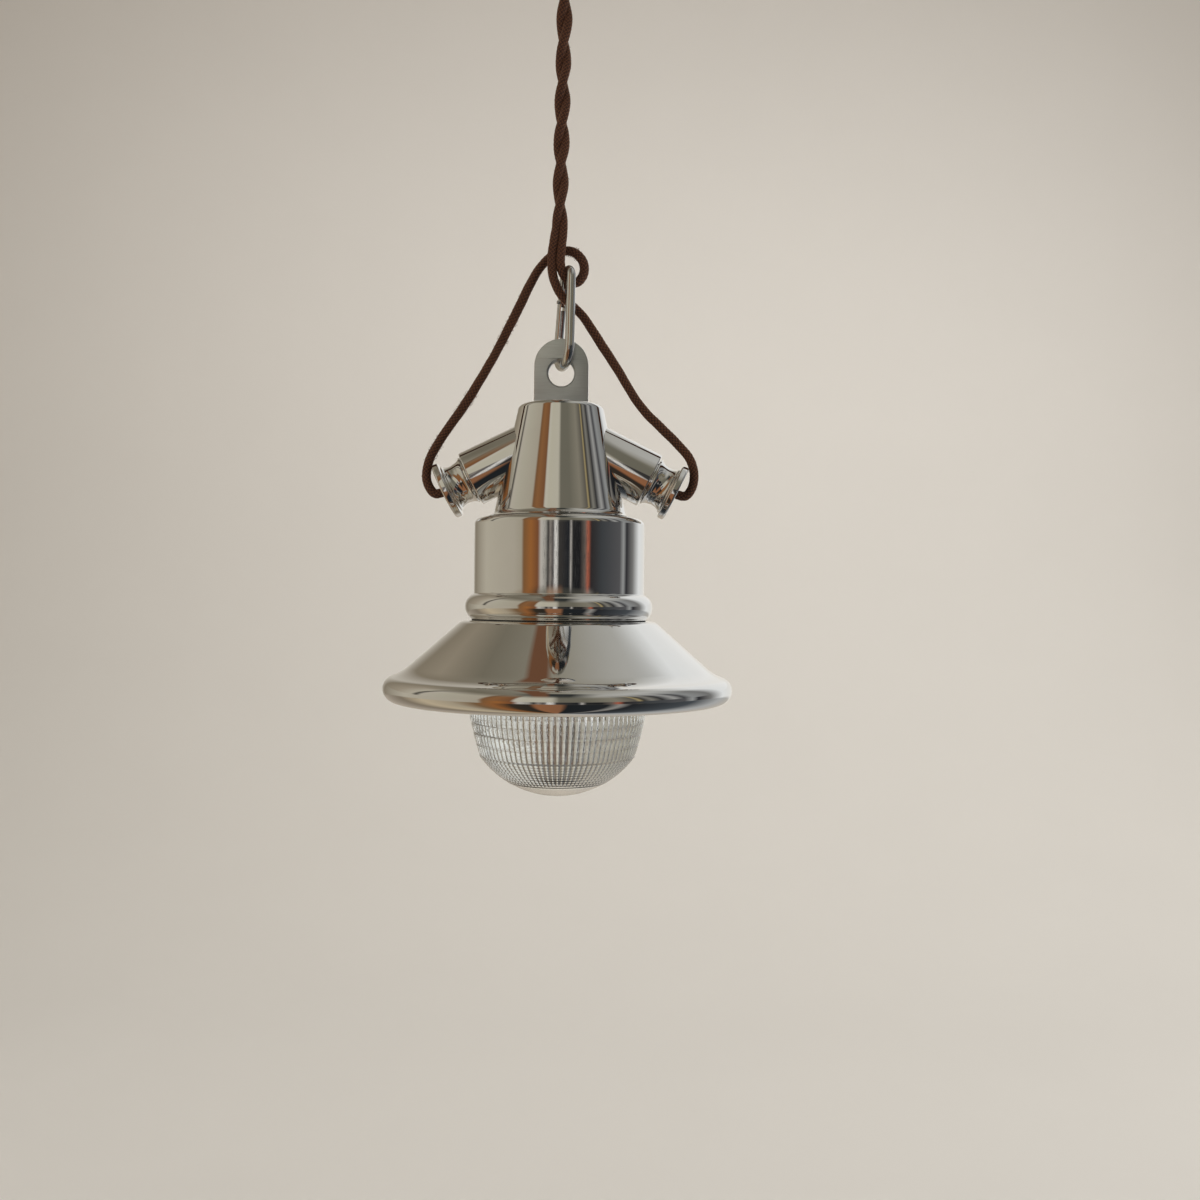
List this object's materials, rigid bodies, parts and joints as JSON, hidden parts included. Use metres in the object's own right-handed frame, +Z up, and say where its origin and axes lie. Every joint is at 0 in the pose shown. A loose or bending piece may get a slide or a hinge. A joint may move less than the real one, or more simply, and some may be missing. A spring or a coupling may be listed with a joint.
{
  "type": "hanging lantern",
  "caption": "Polished chrome pendant lantern: twisted flex through a snap hook to two side glands, cone and collar housing, flared shade and ribbed clear glass dome.",
  "frame": {"origin": "centre of the ceiling face, on the top of the ceiling bracket, level with the ceiling cup's rim", "axes": "+Z up out of the ceiling face; X through the two side cable entries; the lug's flat faces look along Y"},
  "size_m": [0.16, 0.16, 0.415],
  "materials": {
    "polished_chrome": "mirror polished chrome plating",
    "hook_chrome": "polished plated wire",
    "lug_steel": "flat grey steel with fine machining marks",
    "fixing_steel": "zinc plated fixings",
    "brown_flex": "brown braided textile",
    "lead_sleeve": "insulated core",
    "black_rubber": "matte black rubber",
    "porcelain": "white glazed porcelain",
    "brass_contact": "plain brass",
    "nickel_cap": "bright cap metal",
    "prism_glass": "clear pressed glass",
    "bulb_envelope": "clear thin glass",
    "terminal_plastic": "white moulded plastic",
    "filament_yellow": "yellow phosphor coated rods"
  },
  "bodies": {
    "ceiling": {"ceiling_bracket": "fixing_steel", "ceiling_cup": "polished_chrome", "cup_side_screws": "fixing_steel", "cord_grip_body": "polished_chrome", "cord_grip_nut": "fixing_steel", "terminal_block": "terminal_plastic", "terminal_screws": "fixing_steel", "flex_tails": "lead_sleeve"},
    "flex": {"flex_twisted": "brown_flex", "flex_strand_left": "brown_flex", "flex_strand_right": "brown_flex", "snap_hook": "hook_chrome", "gate_latch_pin": "hook_chrome"},
    "gate": {"hook_gate": "hook_chrome", "gate_hinge_pin": "hook_chrome"},
    "lantern": {"hanging_lug": "lug_steel", "lug_washer": "fixing_steel", "lug_nut": "fixing_steel", "entry_cone": "polished_chrome", "entry_tube_left": "polished_chrome", "entry_tube_right": "polished_chrome", "gland_seal_left": "black_rubber", "gland_seal_right": "black_rubber", "gland_washer_left": "fixing_steel", "gland_washer_right": "fixing_steel", "inner_lead_left": "lead_sleeve", "inner_lead_right": "lead_sleeve", "cone_gasket": "black_rubber", "cone_screws": "fixing_steel", "collar_housing": "polished_chrome", "lampholder_bracket": "fixing_steel", "lampholder_base": "porcelain", "lampholder_shell": "brass_contact", "lampholder_contact": "brass_contact", "lampholder_screws": "fixing_steel", "shade_gasket": "black_rubber", "shade": "polished_chrome", "gallery_ring": "fixing_steel", "gallery_screws": "fixing_steel"},
    "gland_left": {"gland_nut_left": "polished_chrome"},
    "gland_right": {"gland_nut_right": "polished_chrome"},
    "lens": {"glass_lens": "prism_glass", "lens_gasket": "black_rubber"},
    "lens_ring": {"lens_ring": "polished_chrome"},
    "bulb": {"bulb_glass": "bulb_envelope", "bulb_cap": "nickel_cap", "bulb_insulator": "porcelain", "bulb_contact": "brass_contact", "bulb_stem": "bulb_envelope", "bulb_filaments": "filament_yellow"}
  },
  "joints": [
    {"name": "pendant_swing", "type": "hinge", "parent": "ceiling", "child": "flex", "pos_m": [0, 0, -0.04], "axis": [1, 0, 0], "range_deg": [-12, 12]},
    {"name": "gate_open", "type": "hinge", "parent": "flex", "child": "gate", "pos_m": [-0.00165, 0.00767, -0.20413], "axis": [0.9388, 0.342, -0.041], "range_deg": [0, 14], "stiffness_Nm_per_rad": 0.05, "springref_deg": -17.19},
    {"name": "lantern_swing", "type": "hinge", "parent": "flex", "child": "lantern", "pos_m": [0.0006, 0, -0.21665], "axis": [0, 1, 0], "range_deg": [-8, 8], "deforming": ["flex_strand_left", "flex_strand_right"]},
    {"name": "gland_nut_left_turn", "type": "hinge", "parent": "lantern", "child": "gland_left", "pos_m": [-0.0415, 0, -0.2692], "axis": [-0.8942, 0, -0.4478], "continuous": true},
    {"name": "gland_nut_right_turn", "type": "hinge", "parent": "lantern", "child": "gland_right", "pos_m": [0.0415, 0, -0.2692], "axis": [0.8942, 0, -0.4478], "continuous": true},
    {"name": "lens_drop", "type": "slide", "parent": "lantern", "child": "lens", "axis": [0, 0, 1], "range_m": [-0.06, 0]},
    {"name": "lens_ring_turn", "type": "hinge", "parent": "lens", "child": "lens_ring", "pos_m": [0, 0, -0.351], "axis": [0, 0, 1], "continuous": true},
    {"name": "bulb_turn", "type": "hinge", "parent": "lantern", "child": "bulb", "pos_m": [0, 0, -0.335], "axis": [0, 0, 1], "continuous": true}
  ]
}
